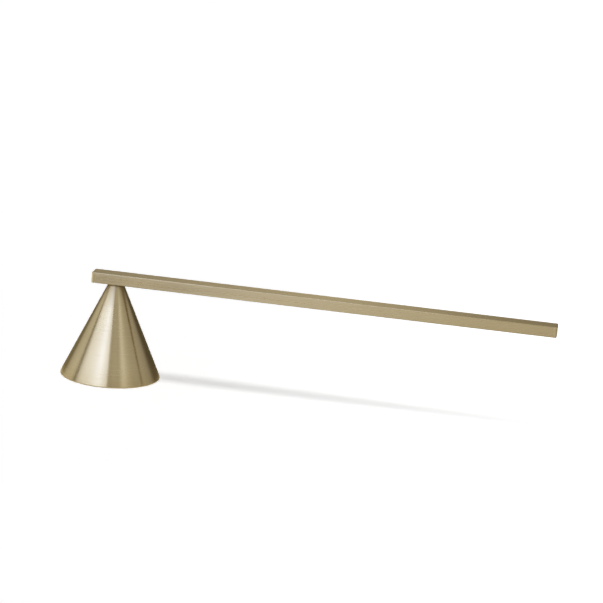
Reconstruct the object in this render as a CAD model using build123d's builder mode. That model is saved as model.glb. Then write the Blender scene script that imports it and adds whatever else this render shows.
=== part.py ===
"""Brass candle snuffer: a heavy cone bell screwed under one end of a long hollow bar handle.

Millimetres. The origin is the centre of the bell's rim, +Z runs up the bell's axis, and +X runs
along the handle towards its long end.
"""
from build123d import *
from math import atan2, cos
import os

os.makedirs("parts", exist_ok=True)

# Bell
bell_d = 46.8
bell_h = 43.8
bell_tip_d = 7.1
bell_wall = 3.2
bell_apex_t = 7.0
rim_ease = 0.35
shoulder_r = 2.0

# Handle
handle_l = 215.0
handle_w = 8.0
handle_h = 5.0
short_side = 11.0
edge_r = 0.35
tube_wall = 0.5
bore_corner_r = 0.2

# End caps
cap_t = 1.6
cap_corner_r = 0.8
spigot_l = 4.0
spigot_lead = 0.15

# Anchor block
spigot_to_block = 1.4
block_ease = 0.4

# Fixing screw, M3 x 12 slotted cheese head
thread_d = 3.0
thread_grip = 3.2
screw_point = 0.4
head_d = 5.5
head_h = 2.0
head_ease = 0.35
slot_w = 0.8
slot_depth = 0.9

# Washers
washer_d = 7.0
washer_t = 0.5
washer_ease = 0.1
spring_d = 6.2
spring_t = 0.8
spring_slit = 0.7
spring_slit_turn = 20.0

# Clearances, on each side
brazing_gap = 0.04
thread_play = 0.05
screw_play = 0.2
block_headroom = 0.1
washer_play = 0.1
spring_play = 0.05
seat_play = 0.3

# Bell section, as radii and heights
bell_r = bell_d / 2
tip_r = bell_tip_d / 2
wall_lean = atan2(bell_r - tip_r, bell_h)
inner_rim_r = bell_r - bell_wall / cos(wall_lean)
screw_hole_r = thread_d / 2 + screw_play
seat_r = washer_d / 2 + seat_play
seat_z = bell_h - bell_apex_t

# Handle section and stations
handle_mid_z = bell_h + handle_h / 2
long_side = handle_l - short_side
tube_start_x = cap_t - short_side
tube_l = handle_l - 2 * cap_t
bore_w = handle_w - 2 * tube_wall
bore_h = handle_h - 2 * tube_wall
bore_floor_z = bell_h + tube_wall

# Anchor block
block_l = 2 * (short_side - cap_t - spigot_l - spigot_to_block)

# Screw stack, from the seat down, and the screw's reach through it
spring_top_z = seat_z - washer_t
head_top_z = spring_top_z - spring_t
screw_l = spring_t + washer_t + bell_apex_t + tube_wall + thread_grip

# Bell: a solid of revolution with a rounded shoulder and a thick apex that seats the washers
with BuildPart() as bell:
    with BuildSketch(Plane.XZ) as bell_section:
        with BuildLine():
            Polyline(
                (bell_r, 0),
                (tip_r, bell_h),
                (screw_hole_r, bell_h),
                (screw_hole_r, seat_z),
                (seat_r, seat_z),
                (inner_rim_r, 0),
                close=True,
            )
        make_face()
        chamfer(bell_section.vertices().group_by(Axis.Y)[0], rim_ease)
        fillet(bell_section.vertices().group_by(Axis.Y)[-1].sort_by(Axis.X)[-1], shoulder_r)
    revolve(axis=Axis.Z)
bell.part.label = "bell"
export_step(bell.part, "parts/bell.step")

# Handle tube: a thin rectangular tube with eased long edges and the screw's hole in its underside
with BuildPart() as handle_tube:
    with BuildSketch(Plane.YZ.offset(tube_start_x)):
        with Locations((0, handle_mid_z)):
            RectangleRounded(handle_w, handle_h, edge_r)
            RectangleRounded(bore_w, bore_h, bore_corner_r, mode=Mode.SUBTRACT)
    extrude(amount=tube_l)
    with Locations(Plane(origin=(0, 0, bell_h), z_dir=(0, 0, -1))):
        Hole(screw_hole_r, depth=handle_h / 2)
handle_tube.part.label = "handle_tube"
export_step(handle_tube.part, "parts/handle_tube.step")

# End caps: an end with rounded corners and the tube's own long edges, on a spigot brazed into the tube
for cap_name, end_x, inward in (("short_end_cap", -short_side, 1), ("long_end_cap", long_side, -1)):
    end_plane = Plane(origin=(end_x, 0, handle_mid_z), x_dir=(0, 1, 0), z_dir=(inward, 0, 0))
    with BuildPart() as cap:
        with BuildSketch(Plane.XY.offset(bell_h)) as cap_plan:
            with Locations((end_x + inward * cap_t / 2, 0)):
                Rectangle(cap_t, handle_w)
            fillet(cap_plan.vertices().group_by(Axis.X)[0 if inward > 0 else -1], cap_corner_r)
        extrude(amount=handle_h)
        rims = cap.edges().filter_by(Axis.Z, reverse=True).sort_by(Axis.X)
        fillet(rims[:-2] if inward > 0 else rims[2:], edge_r)
        with BuildSketch(end_plane.offset(cap_t)):
            RectangleRounded(bore_w - 2 * brazing_gap, bore_h - 2 * brazing_gap, bore_corner_r)
        extrude(amount=spigot_l)
        chamfer(cap.faces().filter_by(Axis.X).sort_by(Axis.X)[-1 if inward > 0 else 0].edges(), spigot_lead)
    cap.part.label = cap_name
    export_step(cap.part, f"parts/{cap_name}.step")

# Anchor block: the tapped nut that lies on the tube's floor over the bell
with BuildPart() as anchor_block:
    with BuildSketch(Plane.XY.offset(bore_floor_z)):
        Rectangle(block_l, bore_w - 2 * brazing_gap)
    extrude(amount=bore_h - block_headroom)
    chamfer(anchor_block.edges().filter_by(Axis.Z, reverse=True), block_ease)
    with Locations((0, 0, bore_floor_z + bore_h)):
        Hole(thread_d / 2 + thread_play)
anchor_block.part.label = "anchor_block"
export_step(anchor_block.part, "parts/anchor_block.step")

# Plain washer: lies on the bell's seat
with BuildPart() as plain_washer:
    with BuildSketch(Plane.XY.offset(spring_top_z)):
        Circle(washer_d / 2)
        Circle(thread_d / 2 + washer_play, mode=Mode.SUBTRACT)
    extrude(amount=washer_t)
    chamfer(plain_washer.edges().group_by(Axis.Z)[0].sort_by(SortBy.RADIUS)[-1], washer_ease)
plain_washer.part.label = "plain_washer"
export_step(plain_washer.part, "parts/plain_washer.step")

# Spring washer: a split ring, pressed flat by the screw's head
with BuildPart() as spring_washer:
    with BuildSketch(Plane.XY.offset(head_top_z)):
        Circle(spring_d / 2)
        Circle(thread_d / 2 + spring_play, mode=Mode.SUBTRACT)
        with Locations(Location((0, spring_d / 4), spring_slit_turn)):
            Rectangle(spring_slit, spring_d, mode=Mode.SUBTRACT)
    extrude(amount=spring_t)
spring_washer.part.label = "spring_washer"
export_step(spring_washer.part, "parts/spring_washer.step")

# Fixing screw: head down inside the bell, shank up through the apex into the anchor block
with BuildPart() as fixing_screw:
    with BuildSketch(Plane.XY.offset(head_top_z)):
        Circle(head_d / 2)
    extrude(amount=-head_h)
    chamfer(fixing_screw.edges().group_by(Axis.Z)[0], head_ease)
    with BuildSketch(Plane.XY.offset(head_top_z)):
        Circle(thread_d / 2)
    extrude(amount=screw_l)
    chamfer(fixing_screw.edges().group_by(Axis.Z)[-1], screw_point)
    with BuildSketch(Plane.XY.offset(head_top_z - head_h)):
        Rectangle(head_d, slot_w)
    extrude(amount=slot_depth, mode=Mode.SUBTRACT)
fixing_screw.part.label = "fixing_screw"
export_step(fixing_screw.part, "parts/fixing_screw.step")
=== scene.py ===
"""Brass candle snuffer: fine metal pieces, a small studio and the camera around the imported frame.

Metres. The origin is the centre of the bell's mouth, +Z runs up the bell's axis, and +X runs
along the handle towards its long end.
"""
from collections import namedtuple
from math import atan2, cos, pi, radians, sin, tan

import bmesh
import bpy
from mathutils import Matrix, Vector


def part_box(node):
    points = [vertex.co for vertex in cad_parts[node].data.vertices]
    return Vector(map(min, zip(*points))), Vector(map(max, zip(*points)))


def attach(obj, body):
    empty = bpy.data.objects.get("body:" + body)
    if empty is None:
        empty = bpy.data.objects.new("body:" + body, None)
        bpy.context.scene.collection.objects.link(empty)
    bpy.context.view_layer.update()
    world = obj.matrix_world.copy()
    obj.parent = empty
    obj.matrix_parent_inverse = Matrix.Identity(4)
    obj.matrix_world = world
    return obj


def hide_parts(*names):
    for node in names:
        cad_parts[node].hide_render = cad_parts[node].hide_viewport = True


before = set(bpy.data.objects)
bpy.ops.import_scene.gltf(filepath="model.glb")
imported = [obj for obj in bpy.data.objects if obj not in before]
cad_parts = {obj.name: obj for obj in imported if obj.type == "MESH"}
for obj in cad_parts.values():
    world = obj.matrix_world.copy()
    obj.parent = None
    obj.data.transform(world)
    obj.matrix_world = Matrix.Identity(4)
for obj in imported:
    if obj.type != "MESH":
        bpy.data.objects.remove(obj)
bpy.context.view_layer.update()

MM = 0.001


# Camera

CAMERA_LENS = 139.0
CAMERA_SENSOR = 36.0
CAMERA_AIM = Vector((0.08404, 0.02114, 0.04051))
CAMERA_DISTANCE = 1.08714
CAMERA_ELEVATION = radians(13.771)
CAMERA_YAW = radians(-7.543)
CAMERA_ROLL = radians(5.003)


def add_camera():
    """The photograph's view: from a little above, turned towards the bell's side, and rolled."""
    level = Vector((cos(CAMERA_YAW), -sin(CAMERA_YAW), 0))
    forward = Vector((sin(CAMERA_YAW), cos(CAMERA_YAW), 0)) * cos(CAMERA_ELEVATION)
    forward -= Vector((0, 0, sin(CAMERA_ELEVATION)))
    upright = level.cross(forward)
    right = level * cos(CAMERA_ROLL) + upright * sin(CAMERA_ROLL)
    up = upright * cos(CAMERA_ROLL) - level * sin(CAMERA_ROLL)
    data = bpy.data.cameras.new("camera")
    data.lens = CAMERA_LENS
    data.sensor_width = CAMERA_SENSOR
    camera = bpy.data.objects.new("camera", data)
    turn = Matrix((right, up, -forward)).transposed().to_4x4()
    camera.matrix_world = Matrix.Translation(CAMERA_AIM - forward * CAMERA_DISTANCE) @ turn
    bpy.context.scene.collection.objects.link(camera)
    bpy.context.scene.camera = camera
    return camera


# Outlines

def rectangle(x0, y0, x1, y1):
    return (x0, y0), (x1, y0), (x1, y1), (x0, y1)


def circle(radius, segments):
    turns = [2 * pi * i / segments for i in range(segments)]
    return [(radius * cos(turn), radius * sin(turn)) for turn in turns]


def rounded(corners, steps):
    """A closed outline from corners (x, y, radius): each is an arc, or one point with no radius."""
    points = []
    for i, (x, y, radius) in enumerate(corners):
        here = Vector((x, y))
        if not radius:
            points.append(here)
            continue
        back = (Vector(corners[i - 1][:2]) - here).normalized()
        ahead = (Vector(corners[(i + 1) % len(corners)][:2]) - here).normalized()
        half = back.angle(ahead) / 2
        centre = here + (back + ahead).normalized() * radius / sin(half)
        start = here + back * radius / tan(half) - centre
        end = here + ahead * radius / tan(half) - centre
        sweep = start.angle_signed(end)
        turns = [-sweep * k / steps for k in range(steps + 1)]
        points += [centre + Matrix.Rotation(turn, 2) @ start for turn in turns]
    return points


def evenly_rounded(corners, radius, steps):
    """A closed outline from corners (x, y) that all have the same radius."""
    return rounded([corner + (radius,) for corner in corners], steps)


def divided(points, longest):
    """The same closed outline with its long straight stretches cut into shorter ones."""
    out = []
    for i, here in enumerate(points):
        ahead = points[(i + 1) % len(points)]
        count = max(1, round((ahead - here).length / longest))
        out += [here.lerp(ahead, k / count) for k in range(count)]
    return out


def distances(points):
    """Running distance along a closed row of points, with the way back to the first at its end."""
    out = [0.0]
    for i, here in enumerate(points):
        out.append(out[-1] + (points[(i + 1) % len(points)] - here).length)
    return out


# Meshes

UV_NAME = "brush"
SHARP = radians(40)
WEIGH_BY_AREA = 100


def skin(loops, around, along, closed=False):
    """A bmesh over closed loops of points; its UV map holds the distances around and along."""
    bm = bmesh.new()
    uv = bm.loops.layers.uv.new(UV_NAME)
    rings = [[bm.verts.new(point) for point in loop] for loop in loops]
    for i in range(len(rings) if closed else len(rings) - 1):
        low, high = rings[i], rings[(i + 1) % len(rings)]
        for j in range(len(low)):
            k = (j + 1) % len(low)
            face = bm.faces.new((low[j], low[k], high[k], high[j]))
            places = ((j, i), (j + 1, i), (j + 1, i + 1), (j, i + 1))
            for loop, (a, b) in zip(face.loops, places):
                loop[uv].uv = (around[a], along[b])
    if not closed:
        for ring in (rings[0], rings[-1]):
            for loop in bm.faces.new(ring).loops:
                loop[uv].uv = (loop.vert.co.y, loop.vert.co.z)
    return bm


def finished(name, bm):
    """An object from a bmesh, with its normals out and all its faces smooth."""
    bmesh.ops.recalc_face_normals(bm, faces=bm.faces)
    for face in bm.faces:
        face.smooth = True
    mesh = bpy.data.meshes.new(name)
    bm.to_mesh(mesh)
    bm.free()
    piece = bpy.data.objects.new(name, mesh)
    bpy.context.scene.collection.objects.link(piece)
    return piece


def shade(piece):
    """Keeps flats flat and sharp edges sharp under smooth shading."""
    piece.data.set_sharp_from_angle(angle=SHARP)
    weigh = piece.modifiers.new("normals", "WEIGHTED_NORMAL")
    weigh.weight = WEIGH_BY_AREA
    weigh.keep_sharp = True
    return piece


def lathe(name, profile, segments, radius_at=None):
    """A closed profile of (radius, height) turned round Z; u follows the profile, v goes round."""
    loops = []
    for i in range(segments):
        angle = 2 * pi * i / segments
        radii = [radius_at(point, angle) if radius_at else point.x for point in profile]
        loops.append([(r * cos(angle), r * sin(angle), p.y) for r, p in zip(radii, profile)])
    widest = max(point.x for point in profile)
    turns = [2 * pi * widest * i / segments for i in range(segments + 1)]
    return finished(name, skin(loops, distances(profile), turns, closed=True))


def prism(name, outline, heights):
    """A cutter that is dropped after use: an outline in X and Y between two heights."""
    loops = [[(x, y, z) for x, y in outline] for z in heights]
    return finished(name, skin(loops, range(len(outline) + 1), range(len(heights))))


def combine(piece, tool, operation):
    """Joins the tool's shape to the piece or takes it out, for good, and deletes the tool."""
    change = piece.modifiers.new("combine", "BOOLEAN")
    change.operation = operation
    change.solver = "EXACT"
    change.object = tool
    graph = bpy.context.evaluated_depsgraph_get()
    mesh = bpy.data.meshes.new_from_object(piece.evaluated_get(graph))
    piece.modifiers.clear()
    piece.data = mesh
    bpy.data.objects.remove(tool)


def mark(piece, name, value_at):
    """Stores a value for each point of the mesh under the given name."""
    layer = piece.data.attributes.new(name, "FLOAT", "POINT")
    layer.data.foreach_set("value", [float(value_at(v.co)) for v in piece.data.vertices])


def dress(piece, node, material):
    """Puts a fine piece in the place of its CAD node."""
    piece.data.materials.clear()
    piece.data.materials.append(material)
    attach(shade(piece), "root")
    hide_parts(node)


# Bell

BELL_R = 23.4 * MM
BELL_TIP_R = 3.55 * MM
BELL_WALL = 3.2 * MM
RIM_EASE = 0.35 * MM
SHOULDER_R = 2.0 * MM
SCREW_HOLE_R = 1.7 * MM
SEAT_R = 3.8 * MM
SEAT_DEPTH = 7.0 * MM
HOLE_EASE = 0.15 * MM
BELL_STEPS = 6
BELL_SEGMENTS = 288
BELL_RING = 1.6 * MM
# A painted shade on the bell: darkest at the rim, gone by this height, and half as dark inside
PAINTED_SHADE_HEIGHT = 12 * MM
PAINTED_SHADE_INSIDE = 0.5
COARSE_HEIGHT = 14 * MM


def mark_painted_shade_and_coarseness(bell, height, lean):
    """Marks a painted shade at each point, darkest at the rim and half as dark inside, and how
    coarse each point is, towards the tip.
    """

    def painted_shade(point):
        wall_r = BELL_R - (BELL_R - BELL_TIP_R) * point.z / height
        depth = (wall_r - Vector(point.xy).length) * cos(lean)
        if depth > BELL_WALL - RIM_EASE:
            return PAINTED_SHADE_INSIDE
        return max(0, 1 - point.z / PAINTED_SHADE_HEIGHT) ** 2

    def coarse(point):
        return max(0, 1 - (height - point.z) / COARSE_HEIGHT) ** 2

    mark(bell, "painted_shade", painted_shade)
    mark(bell, "coarse", coarse)


def make_bell():
    """The turned cone: plain wall, thick apex with the screw's seat, eased rim and shoulder."""
    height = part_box("bell")[1].z
    seat_z = height - SEAT_DEPTH
    lean = atan2(BELL_R - BELL_TIP_R, height)
    inner_r = BELL_R - BELL_WALL / cos(lean)
    corners = (
        (BELL_R, 0, RIM_EASE),
        (BELL_TIP_R, height, SHOULDER_R),
        (SCREW_HOLE_R, height, HOLE_EASE),
        (SCREW_HOLE_R, seat_z, HOLE_EASE),
        (SEAT_R, seat_z, HOLE_EASE),
        (inner_r, 0, RIM_EASE),
    )
    profile = divided(rounded(corners, BELL_STEPS), BELL_RING)
    bell = lathe("bell_turned", profile, BELL_SEGMENTS)
    mark_painted_shade_and_coarseness(bell, height, lean)
    return bell


# Handle

HANDLE_EDGE = 0.35 * MM
EDGE_STEPS = 8
TUBE_WALL = 0.5 * MM
BORE_EDGE = 0.2 * MM
BAR_STATION = 6 * MM
CAP_CORNER_R = 0.8 * MM
SPIGOT_GAP = 0.04 * MM
SPIGOT_LEAD = 0.15 * MM
HOLE_SEGMENTS = 48

# Points beside a rounded edge, which keep the flat next to it flat in shading
HOLD = 0.25 * MM
HOLD_MOST = 0.25


def held(points):
    """Adds a point a little way in from both ends of each long straight stretch."""
    out = []
    for i, here in enumerate(points):
        ahead = points[(i + 1) % len(points)]
        share = HOLD / (ahead - here).length
        out.append(here)
        if share < HOLD_MOST:
            out += [here.lerp(ahead, share), ahead.lerp(here, share)]
    return out


def handle_section(inset, edge):
    """The handle's outline in Y and Z, drawn in by the inset."""
    low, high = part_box("handle_tube")
    corners = rectangle(low.y + inset, low.z + inset, high.y - inset, high.z - inset)
    return held(evenly_rounded(corners, edge, EDGE_STEPS))


def at_station(section, x):
    return [(x, point.x, point.y) for point in section]


def make_handle_tube():
    """The drawn tube, open at both ends, with the screw's hole in its underside."""
    low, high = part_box("handle_tube")
    count = round((high.x - low.x) / BAR_STATION)
    stations = [low.x + (high.x - low.x) * i / count for i in range(count + 1)]
    outer = handle_section(0, HANDLE_EDGE)
    bore = handle_section(TUBE_WALL, BORE_EDGE)
    loops = [at_station(outer, x) for x in stations]
    loops += [at_station(bore, x) for x in reversed(stations)]
    along = stations + [2 * high.x - x for x in reversed(stations)]
    along.append(along[-1] + TUBE_WALL)
    tube = finished("handle_bar", skin(loops, distances(outer), along, closed=True))
    hole = circle(SCREW_HOLE_R, HOLE_SEGMENTS)
    cutter = prism("hole_cutter", hole, (low.z - TUBE_WALL, low.z + 2 * TUBE_WALL))
    combine(tube, cutter, "DIFFERENCE")
    return tube


def cap_outline(end, seam, inset):
    """A cap's outline in X and Y, drawn in by the inset on every side but the seam."""
    low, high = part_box("handle_tube")
    tip = end - inset if end > seam else end + inset
    y0, y1 = low.y + inset, high.y - inset
    corner = CAP_CORNER_R - inset
    return rounded(((seam, y0, 0), (tip, y0, corner), (tip, y1, corner), (seam, y1, 0)), EDGE_STEPS)


def cap_levels(low, high):
    """Heights up a cap, each after how far the rounded edge draws the outline in there."""
    turns = [pi / 2 * k / EDGE_STEPS for k in range(EDGE_STEPS + 1)]
    rows = [(HANDLE_EDGE * (1 - sin(turn)), HANDLE_EDGE * (1 - cos(turn))) for turn in turns]
    rows.append((0, HANDLE_EDGE + HOLD))
    levels = [(inset, low + rise) for inset, rise in rows]
    return levels + [(inset, high - rise) for inset, rise in reversed(rows)]


def make_spigot(inner, root, outward):
    """A cap's spigot for the bore, from its inner end with a lead to its root in the cap."""
    fit = TUBE_WALL + SPIGOT_GAP
    section = handle_section(fit, BORE_EDGE)
    stations = (
        (handle_section(fit + SPIGOT_LEAD, BORE_EDGE), inner),
        (section, inner + outward * SPIGOT_LEAD),
        (section, root),
    )
    loops = [at_station(outline, x) for outline, x in stations]
    return finished("spigot", skin(loops, distances(section), [x for _, x in stations]))


def make_cap(name, node, outward):
    """An end cap: rounded corners, the handle's own edge all round, and a spigot for the bore."""
    low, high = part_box(node)
    tube_low, tube_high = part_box("handle_tube")
    end, inner, seam = (high.x, low.x, tube_high.x) if outward > 0 else (low.x, high.x, tube_low.x)
    levels = cap_levels(low.z, high.z)
    loops = [[(p.x, p.y, z) for p in cap_outline(end, seam, inset)] for inset, z in levels]
    around = distances(cap_outline(end, seam, 0))
    cap = finished(name, skin(loops, around, [z for _, z in levels]))
    combine(cap, make_spigot(inner, (seam + end) / 2, outward), "UNION")
    return cap


# Screw and washers

THREAD_R = 1.5 * MM
THREAD_DEPTH = 0.27 * MM
THREAD_PITCH = 0.5 * MM
THREAD_ROWS = 6
THREAD_RUN_OUT = 1.0 * MM
GROOVE_PEAK = 1.25
GROOVE_SLOPE = 3.2
SCREW_STEPS = 4
SCREW_SEGMENTS = 48
SCREW_POINT = 0.4 * MM
SCREW_CORE_R = 0.02 * MM
HEAD_R = 2.75 * MM
HEAD_H = 2.0 * MM
HEAD_EASE = 0.3 * MM
HEAD_SEAT_EASE = 0.05 * MM
SLOT_W = 0.8 * MM
SLOT_DEPTH = 0.9 * MM
WASHER_HOLE_R = 1.6 * MM
SPRING_HOLE_R = 1.55 * MM
WASHER_EASE = 0.08 * MM
WASHER_STEPS = 3
WASHER_SEGMENTS = 96
SPRING_SLIT = 0.7 * MM
SPRING_SLIT_TURN = radians(20)


def thread_depth(above, angle):
    """How deep the thread is cut at a height above the head and an angle round the screw."""
    phase = (above / THREAD_PITCH - angle / (2 * pi)) % 1
    groove = min(1, max(0, GROOVE_PEAK - GROOVE_SLOPE * abs(phase - 0.5)))
    return THREAD_DEPTH * groove * min(1, above / THREAD_RUN_OUT)


def make_screw():
    """A slotted cheese-head screw with its real thread, head down."""
    low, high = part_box("fixing_screw")
    head_top = low.z + HEAD_H
    corners = (
        (SCREW_CORE_R, low.z, 0),
        (HEAD_R, low.z, HEAD_EASE),
        (HEAD_R, head_top, HEAD_SEAT_EASE),
        (THREAD_R, head_top, 0),
        (THREAD_R, high.z - SCREW_POINT, 0),
        (THREAD_R - SCREW_POINT, high.z, 0),
        (SCREW_CORE_R, high.z, 0),
    )
    profile = divided(rounded(corners, SCREW_STEPS), THREAD_PITCH / THREAD_ROWS)

    def radius_at(point, angle):
        above = point.y - head_top
        if above <= 0 or point.x < THREAD_R / 2:
            return point.x
        return min(point.x, THREAD_R - thread_depth(above, angle))

    screw = lathe("screw_slotted", profile, SCREW_SEGMENTS, radius_at)
    slot = rectangle(-2 * HEAD_R, -SLOT_W / 2, 2 * HEAD_R, SLOT_W / 2)
    cutter = prism("slot_cutter", slot, (low.z - SLOT_DEPTH, low.z + SLOT_DEPTH))
    combine(screw, cutter, "DIFFERENCE")
    return screw


def washer_section(node, hole_r):
    """A washer's section in radius and height, with eased edges."""
    low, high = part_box(node)
    return evenly_rounded(rectangle(hole_r, low.z, high.x, high.z), WASHER_EASE, WASHER_STEPS)


def make_plain_washer():
    return lathe("washer_plain", washer_section("plain_washer", WASHER_HOLE_R), WASHER_SEGMENTS)


def make_spring_washer():
    """A split ring, pressed flat by the screw."""
    ring_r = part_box("spring_washer")[1].x
    section = washer_section("spring_washer", SPRING_HOLE_R)
    half_slit = SPRING_SLIT / (ring_r + SPRING_HOLE_R)
    start = pi / 2 + SPRING_SLIT_TURN + half_slit
    span = 2 * (pi - half_slit)
    turns = [start + span * i / WASHER_SEGMENTS for i in range(WASHER_SEGMENTS + 1)]
    loops = [[(p.x * cos(turn), p.x * sin(turn), p.y) for p in section] for turn in turns]
    along = [turn * ring_r for turn in turns]
    return finished("washer_spring", skin(loops, distances(section), along))


# Shader nodes

NOISE_LOW, NOISE_MIDDLE, NOISE_HIGH = 0.3, 0.5, 0.7


def emptied(owner):
    """The node tree of a new material or world, with nothing in it."""
    owner.use_nodes = True
    owner.node_tree.nodes.clear()
    return owner.node_tree


def add(tree, kind, inputs=(), **settings):
    """A new node. An input is given as a value, or as the output socket that feeds it."""
    node = tree.nodes.new(kind)
    for name, value in settings.items():
        setattr(node, name, value)
    for name, value in dict(inputs).items():
        if isinstance(value, bpy.types.NodeSocket):
            tree.links.new(value, node.inputs[name])
        else:
            node.inputs[name].default_value = value
    return node


def calc(tree, operation, *values, clamp=False):
    """The result of a sum on numbers, which are values or output sockets."""
    node = add(tree, "ShaderNodeMath", enumerate(values), operation=operation, use_clamp=clamp)
    return node.outputs[0]


def vector_calc(tree, operation, *values):
    """The outputs of a sum on vectors: a vector first, and a number under "Value"."""
    return add(tree, "ShaderNodeVectorMath", enumerate(values), operation=operation).outputs


def noise(tree, waves, detail):
    """Noise in the object's own space, with so many waves per metre along X, Y and Z."""
    place = add(tree, "ShaderNodeTexCoord").outputs["Object"]
    mapped = add(tree, "ShaderNodeMapping", {"Vector": place, "Scale": waves}).outputs[0]
    inputs = {"Vector": mapped, "Scale": 1.0, "Detail": detail}
    return add(tree, "ShaderNodeTexNoise", inputs).outputs["Fac"]


def ramp(tree, factor, stops):
    """Colour by factor, from stops of (place, colour)."""
    node = add(tree, "ShaderNodeValToRGB", {"Fac": factor})
    points = node.color_ramp.elements
    while len(points) < len(stops):
        points.new(NOISE_MIDDLE)
    for point, (place, colour) in zip(points, stops):
        point.position = place
        point.color = (*colour, 1)
    return node.outputs["Color"]


def spread(tree, value, low, high):
    """Maps the middle of a noise's range to the two limits."""
    limits = {"From Min": NOISE_LOW, "From Max": NOISE_HIGH, "To Min": low, "To Max": high}
    return add(tree, "ShaderNodeMapRange", {"Value": value, **limits}).outputs["Result"]


def marked(tree, name):
    return add(tree, "ShaderNodeAttribute", attribute_name=name).outputs["Fac"]


# Metals

# Waves per metre of the finest streaks along X, Y and Z, how much the colour varies, the two
# limits of the roughness, the depth of the relief, and how far reflections spread across the
# brushing, which runs across the UV map's u
Finish = namedtuple("Finish", "grooves tone rough grain anisotropy", defaults=(0.0,))

BRUSHED_ANISOTROPY = 0.93
BELL_FINISH = Finish((50.0, 50.0, 2200.0), 0.07, (0.22, 0.29), 0.001 * MM, BRUSHED_ANISOTROPY)
BAR_FINISH = Finish((22.0, 2300.0, 2300.0), 0.06, (0.24, 0.31), 0.0012 * MM, BRUSHED_ANISOTROPY)
CAP_FINISH = Finish((900.0, 2600.0, 700.0), 0.08, (0.26, 0.36), 0.0014 * MM)
BLOCK_FINISH = Finish((1500.0, 300.0, 1500.0), 0.2, (0.3, 0.45), 0.006 * MM)
SCREW_FINISH = Finish((500.0, 500.0, 5000.0), 0.1, (0.22, 0.34), 0.003 * MM)
WASHER_FINISH = Finish((500.0, 500.0, 5000.0), 0.12, (0.28, 0.4), 0.003 * MM)

BRASS = (0.46, 0.375, 0.212)
BRASS_EDGE = (0.85, 0.78, 0.6)
BLOCK_BRASS = (0.5, 0.38, 0.17)
SCREW_STEEL = (0.58, 0.57, 0.55)
WASHER_STEEL = (0.5, 0.5, 0.49)
STEEL_EDGE = (0.9, 0.9, 0.9)

BROAD_STRETCH = 0.28
FINE_SHARE, BROAD_SHARE = 0.55, 0.45
STREAK_SHARE, PATCH_SHARE = 0.65, 0.35
PATCH_WAVES = (60.0, 60.0, 60.0)
FINE_DETAIL = 3.0
BROAD_DETAIL = 2.0
# How much the painted shade takes from red, green and blue at its darkest
PAINTED_SHADE_DEPTH = (0.08, 0.11, 0.2)
COARSENING = 0.25


def scaled(values, factor):
    return tuple(value * factor for value in values)


def streaks(tree, grooves):
    """The brushing: fine streaks over broad ones."""
    fine = noise(tree, grooves, FINE_DETAIL)
    broad = noise(tree, scaled(grooves, BROAD_STRETCH), BROAD_DETAIL)
    part = calc(tree, "MULTIPLY", broad, BROAD_SHARE)
    return calc(tree, "MULTIPLY_ADD", fine, FINE_SHARE, part)


def varied(tree, streak, colour, tone):
    """The colour, lighter and darker by the tone with the streaks and some broad patches."""
    patch = noise(tree, PATCH_WAVES, BROAD_DETAIL)
    part = calc(tree, "MULTIPLY", streak, STREAK_SHARE)
    stops = (
        (NOISE_LOW, scaled(colour, 1 - tone)),
        (NOISE_MIDDLE, colour),
        (NOISE_HIGH, scaled(colour, 1 + tone)),
    )
    return ramp(tree, calc(tree, "MULTIPLY_ADD", patch, PATCH_SHARE, part), stops)


def painted_shade_and_coarse(tree, colour, roughness):
    """The colour darkened by a painted shade and the roughness coarser, where the mesh is marked
    so.
    """
    painted_shade = marked(tree, "painted_shade")
    kept = vector_calc(tree, "MULTIPLY_ADD", painted_shade, scaled(PAINTED_SHADE_DEPTH, -1), (1, 1, 1))[0]
    rougher = calc(tree, "MULTIPLY_ADD", marked(tree, "coarse"), COARSENING, roughness)
    return vector_calc(tree, "MULTIPLY", colour, kept)[0], rougher


def metal(name, colour, edge_tint, finish, with_painted_shade_and_coarse=False):
    """Brushed metal, whose streaks vary its colour, gloss and relief."""
    material = bpy.data.materials.new(name)
    tree = emptied(material)
    streak = streaks(tree, finish.grooves)
    shown = varied(tree, streak, colour, finish.tone)
    roughness = spread(tree, streak, *finish.rough)
    # A painted shade darkens the colour where the mesh is marked, and the roughness grows coarser
    if with_painted_shade_and_coarse:
        shown, roughness = painted_shade_and_coarse(tree, shown, roughness)
    relief = {"Height": streak, "Strength": 1.0, "Distance": finish.grain}
    inputs = {
        "Base Color": shown,
        "Metallic": 1.0,
        "Specular Tint": (*edge_tint, 1),
        "Roughness": roughness,
        "Anisotropic": finish.anisotropy,
        "Normal": add(tree, "ShaderNodeBump", relief).outputs[0],
    }
    if finish.anisotropy:
        tangent = add(tree, "ShaderNodeTangent", direction_type="UV_MAP", uv_map=UV_NAME)
        inputs["Tangent"] = tangent.outputs["Tangent"]
    shader = add(tree, "ShaderNodeBsdfPrincipled", inputs)
    add(tree, "ShaderNodeOutputMaterial", {"Surface": shader.outputs[0]})
    return material


# Boards for the metal to reflect

SUBJECT = Vector((0, 0, 22 * MM))
BOARD_R = 1.0
BOARD_MIDDLE_R = BOARD_R / 3
BOARD_INNER_R = 24 * MM
BOARD_LIFT = 0.5 * MM
BOARD_STEP = radians(3)
WALL_FOOT = radians(20)
WALL_TOP = radians(47)
CROWN_TOP = radians(89)
FOOT_LEVEL = 0.8
CROWN_LEVEL = 0.7
NO_TINT = (1.0, 1.0, 1.0)
FOOT_TINT = (1.0, 1.02, 1.1)
FLOOR_TINT = (1.0, 0.96, 0.86)
BRIGHT_POWERS = (1.0, 1.17, 1.66)
DIM_POWERS = (1.0, 1.06, 1.15)

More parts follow.
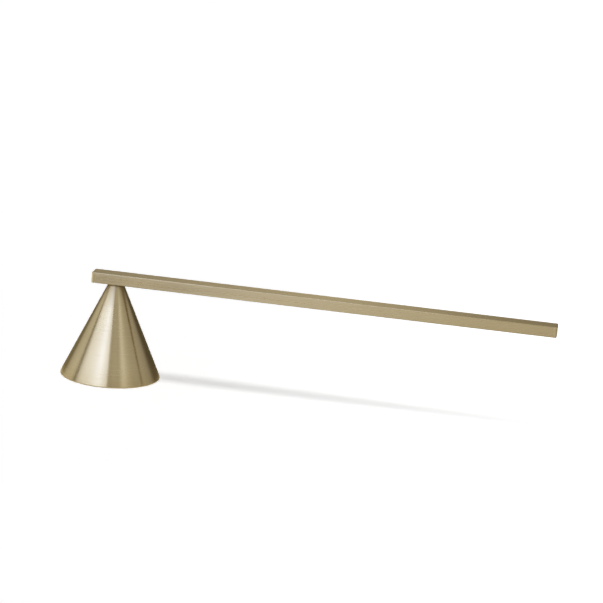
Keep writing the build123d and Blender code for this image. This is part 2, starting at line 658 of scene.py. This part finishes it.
# Stops: the turn to the right of the camera in degrees, and the level there, where 1 is white
WALL_STOPS = (
    (-180, 0.5), (-170, 0.46), (-160, 0.36), (-148, 0.2), (-141, 0.3), (-134, 0.64),
    (-128, 0.88), (-118, 0.96), (-99, 0.96), (-95, 0.62), (-92, 0.3), (-89.5, 0.08), (-88, 0.1),
    (-87, 1.82), (-72, 2.1), (-55, 2.28), (-38, 2.72), (-29, 2.9), (-21, 2.64), (-14, 2.3),
    (-8, 2.1), (-5, 0.68), (6, 0.7), (14, 0.74), (19, 0.7), (24, 0.74), (30, 1.1), (36, 1.44),
    (42, 1.22), (50, 0.9), (58, 0.74), (66, 0.7), (90, 0.7), (112, 0.58), (117, 0.48),
    (122, 0.3), (127, 0.2), (133, 0.16), (150, 0.16), (156, 0.42), (160, 0.49), (162, 0.64),
    (165, 0.78), (169, 0.92), (173, 0.74), (177, 0.64), (180, 0.52),
)
FRONT_FLOOR_STOPS = (
    (-100, 1.3), (-60, 1.6), (-45, 1.4), (-32, 0.45), (-22, 0.78), (-15, 0.96), (-8, 0.12),
    (-4, 0.16), (0, 0.75), (6, 1.9), (12, 1.7), (19, 0.86), (26, 0.96), (30, 1.08), (34, 0.86),
    (60, 0.7), (100, 0.4),
)
RIGHT_FLOOR_STOPS = ((100, 0.4), (115, 0.3), (135, 0.12), (180, 0.15))
LEFT_FLOOR_STOPS = ((-180, 0.36), (-150, 0.38), (-125, 0.4), (-112, 0.6), (-100, 1.3))


def heading(camera):
    """The camera's compass angle round the bell, from -Y towards +X."""
    away = camera.matrix_world.translation - SUBJECT
    return atan2(away.x, -away.y)


def level_at(stops, turn):
    """The level between the two stops at either side of the turn."""
    for (turn_a, level_a), (turn_b, level_b) in zip(stops, stops[1:]):
        if turn <= turn_b:
            return level_a + (level_b - level_a) * (turn - turn_a) / (turn_b - turn_a)
    return stops[-1][1]


def board_turns(stops):
    """The stops' own turns, with more between them where they are far apart."""
    turns = []
    for (turn_a, _), (turn_b, _) in zip(stops, stops[1:]):
        count = max(1, round(radians(turn_b - turn_a) / BOARD_STEP))
        turns += [turn_a + (turn_b - turn_a) * i / count for i in range(count)]
    return turns + [stops[-1][0]]


def board_glow(level, tint):
    """A board's colour, which turns bluer as it gets brighter and warmer as it gets darker."""
    powers = BRIGHT_POWERS if level > 1 else DIM_POWERS
    return tuple(part * level ** power for part, power in zip(tint, powers)) + (1,)


def swept(front, stops, outline, tint):
    """A bmesh of an outline of (radius, height) swept round, with its glow in each vertex."""
    bm = bmesh.new()
    glow = bm.verts.layers.float_color.new("glow")
    columns = []
    for turn in board_turns(stops):
        angle = front + radians(turn)
        column = [bm.verts.new((sin(angle) * r, -cos(angle) * r, z)) for r, z in outline]
        for vert in column:
            vert[glow] = board_glow(level_at(stops, turn), tint)
        columns.append(column)
    for left, right in zip(columns, columns[1:]):
        for low in range(len(outline) - 1):
            bm.faces.new((left[low], right[low], right[low + 1], left[low + 1]))
    return bm


def add_board(name, front, stops, outline, tint=NO_TINT):
    """A board that only the metal's reflections see."""
    board = finished(name, swept(front, stops, outline, tint))
    material = bpy.data.materials.new(name)
    tree = emptied(material)
    colour = add(tree, "ShaderNodeAttribute", attribute_name="glow").outputs["Color"]
    shine = add(tree, "ShaderNodeEmission", {"Color": colour, "Strength": 1.0})
    add(tree, "ShaderNodeOutputMaterial", {"Surface": shine.outputs[0]})
    board.data.materials.append(material)
    board.visible_camera = False
    board.visible_diffuse = False
    board.visible_shadow = False


def wall_outline(low, high):
    """A stretch of a dome round the bell, between two elevations."""
    count = round((high - low) / BOARD_STEP)
    turns = [low + (high - low) * i / count for i in range(count + 1)]
    return [(BOARD_R * cos(turn), BOARD_R * sin(turn)) for turn in turns]


def add_boards(front):
    """What the brass shows: a wall with a duller foot under a plain crown, and the floor."""
    add_board("board_wall", front, WALL_STOPS, wall_outline(WALL_FOOT, WALL_TOP))
    foot = [(turn, FOOT_LEVEL if level > 1 else level) for turn, level in WALL_STOPS]
    add_board("board_wall_foot", front, foot, wall_outline(0, WALL_FOOT), FOOT_TINT)
    crown = ((-180, CROWN_LEVEL), (180, CROWN_LEVEL))
    add_board("board_crown", front, crown, wall_outline(WALL_TOP, CROWN_TOP))
    ground = [(radius, BOARD_LIFT) for radius in (BOARD_INNER_R, BOARD_MIDDLE_R, BOARD_R)]
    add_board("board_floor_front", front, FRONT_FLOOR_STOPS, ground, FLOOR_TINT)
    add_board("board_floor_right", front, RIGHT_FLOOR_STOPS, ground, FLOOR_TINT)
    add_board("board_floor_left", front, LEFT_FLOOR_STOPS, ground, FLOOR_TINT)


# World, lamp and floor

WHITE = (1, 1, 1, 1)
WORLD_LIGHT = 0.15
LAMP_TURN = radians(-20)
LAMP_ELEVATION = radians(82)
LAMP_DISTANCE = 0.8
LAMP_SIZE = 0.22
LAMP_POOL = 0.44
FLOOR_HALF = 4.0
FLOOR_CELLS = 16
FLOOR_DROP = 0.05 * MM
FLOOR_COLOUR = 0.8
FLOOR_LEVEL = 1.01

# The floor grows brighter along X by so much per metre, which fades the handle's shadow
FLOOR_RISE = 1.6
FLOOR_RISE_START = 40 * MM
FLOOR_RISE_LENGTH = 0.5


def seen_by_eye(tree):
    """1 for rays from the camera, a reflection or glass, and 0 for the light on matt surfaces."""
    path = add(tree, "ShaderNodeLightPath").outputs
    some = calc(tree, "ADD", path["Is Camera Ray"], path["Is Glossy Ray"])
    return calc(tree, "ADD", some, path["Is Transmission Ray"], clamp=True)


def add_world():
    """White to the eye, and a dim light on everything matt."""
    world = bpy.data.worlds.new("studio")
    tree = emptied(world)
    strength = calc(tree, "MULTIPLY_ADD", seen_by_eye(tree), 1 - WORLD_LIGHT, WORLD_LIGHT)
    glow = add(tree, "ShaderNodeBackground", {"Color": WHITE, "Strength": strength})
    add(tree, "ShaderNodeOutputWorld", {"Surface": glow.outputs[0]})
    bpy.context.scene.world = world


def lamp_place(front):
    """A point nearly over the bell, to the left of the camera."""
    turn = front + LAMP_TURN
    level = Vector((sin(turn), -cos(turn), 0)) * cos(LAMP_ELEVATION)
    return SUBJECT + (level + Vector((0, 0, sin(LAMP_ELEVATION)))) * LAMP_DISTANCE


def lamp_power(towards):
    """The lamp's radiance times its area, which lights the floor at the bell to LAMP_POOL."""
    upright = -towards.normalized().z
    return LAMP_POOL * pi * towards.length ** 2 / (FLOOR_COLOUR * upright)


def add_lamp(place):
    """A square softbox that faces the bell and doesn't show in the metal."""
    towards = SUBJECT - place
    data = bpy.data.lights.new("lamp", "AREA")
    data.size = LAMP_SIZE
    data.energy = pi * lamp_power(towards)
    lamp = bpy.data.objects.new("lamp", data)
    lamp.location = place
    lamp.rotation_mode = "QUATERNION"
    lamp.rotation_quaternion = towards.to_track_quat("-Z", "Y")
    lamp.visible_glossy = False
    bpy.context.scene.collection.objects.link(lamp)


def lamp_pool(tree, place):
    """The lamp's light on the floor with nothing in its way, as a part of white."""
    towards = SUBJECT - place
    position = add(tree, "ShaderNodeNewGeometry").outputs["Position"]
    way = vector_calc(tree, "SUBTRACT", tuple(place), position)[0]
    distance = vector_calc(tree, "LENGTH", way)["Value"]
    height = add(tree, "ShaderNodeSeparateXYZ", {0: way}).outputs["Z"]
    facing = vector_calc(tree, "DOT_PRODUCT", way, tuple(-towards.normalized()))["Value"]
    # Two cosines, each over the distance, and the square law make a fourth power
    slants = calc(tree, "MULTIPLY", height, facing)
    weakened = calc(tree, "DIVIDE", slants, calc(tree, "POWER", distance, 4.0))
    return calc(tree, "MULTIPLY", weakened, lamp_power(towards) * FLOOR_COLOUR / pi)


def floor_shine(tree, place):
    """What the lit floor lacks to an even white, for the eye alone."""
    position = add(tree, "ShaderNodeNewGeometry").outputs["Position"]
    along = add(tree, "ShaderNodeSeparateXYZ", {0: position}).outputs["X"]
    past = calc(tree, "MAXIMUM", calc(tree, "SUBTRACT", along, FLOOR_RISE_START), 0.0)
    past = calc(tree, "MINIMUM", past, FLOOR_RISE_LENGTH)
    white = FLOOR_LEVEL - FLOOR_COLOUR * WORLD_LIGHT
    level = calc(tree, "MULTIPLY_ADD", past, FLOOR_RISE, white)
    lack = calc(tree, "MAXIMUM", calc(tree, "SUBTRACT", level, lamp_pool(tree, place)), 0.0)
    return calc(tree, "MULTIPLY", seen_by_eye(tree), lack)


def floor_material(place):
    """Matt white with its own shine from above, and clear from below."""
    material = bpy.data.materials.new("floor")
    tree = emptied(material)
    shine = {"Color": WHITE, "Strength": floor_shine(tree, place)}
    glow = add(tree, "ShaderNodeEmission", shine)
    matt = add(tree, "ShaderNodeBsdfDiffuse", {"Color": (FLOOR_COLOUR,) * 3 + (1,)})
    both = add(tree, "ShaderNodeAddShader", {0: matt.outputs[0], 1: glow.outputs[0]})
    below = add(tree, "ShaderNodeNewGeometry").outputs["Backfacing"]
    clear = add(tree, "ShaderNodeBsdfTransparent")
    sides = add(tree, "ShaderNodeMixShader", {0: below, 1: both.outputs[0], 2: clear.outputs[0]})
    add(tree, "ShaderNodeOutputMaterial", {"Surface": sides.outputs[0]})
    return material


def add_floor(place):
    """A floor that keeps the object's shadow, with its normals turned up."""
    bm = bmesh.new()
    bmesh.ops.create_grid(bm, x_segments=FLOOR_CELLS, y_segments=FLOOR_CELLS, size=FLOOR_HALF)
    bmesh.ops.translate(bm, verts=bm.verts, vec=(0, 0, -FLOOR_DROP))
    floor = finished("floor", bm)
    floor.data.flip_normals()
    floor.data.materials.append(floor_material(place))


def add_studio(camera):
    """White all round, boards for the metal to reflect, and one soft lamp for the shadow."""
    front = heading(camera)
    place = lamp_place(front)
    add_world()
    add_floor(place)
    add_lamp(place)
    add_boards(front)


# The scene

camera = add_camera()

bell_brass = metal("bell_brass", BRASS, BRASS_EDGE, BELL_FINISH, with_painted_shade_and_coarse=True)
bar_brass = metal("handle_brass", BRASS, BRASS_EDGE, BAR_FINISH)
cap_brass = metal("cap_brass", BRASS, BRASS_EDGE, CAP_FINISH)
block_brass = metal("block_brass", BLOCK_BRASS, BRASS_EDGE, BLOCK_FINISH)
screw_steel = metal("screw_steel", SCREW_STEEL, STEEL_EDGE, SCREW_FINISH)
washer_steel = metal("washer_steel", WASHER_STEEL, STEEL_EDGE, WASHER_FINISH)

dress(make_bell(), "bell", bell_brass)
dress(make_handle_tube(), "handle_tube", bar_brass)
dress(make_cap("cap_short_end", "short_end_cap", -1), "short_end_cap", cap_brass)
dress(make_cap("cap_long_end", "long_end_cap", 1), "long_end_cap", cap_brass)
dress(make_screw(), "fixing_screw", screw_steel)
dress(make_plain_washer(), "plain_washer", washer_steel)
dress(make_spring_washer(), "spring_washer", washer_steel)
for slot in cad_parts["anchor_block"].material_slots:
    slot.material = block_brass

add_studio(camera)
bpy.context.scene.view_settings.view_transform = "Standard"
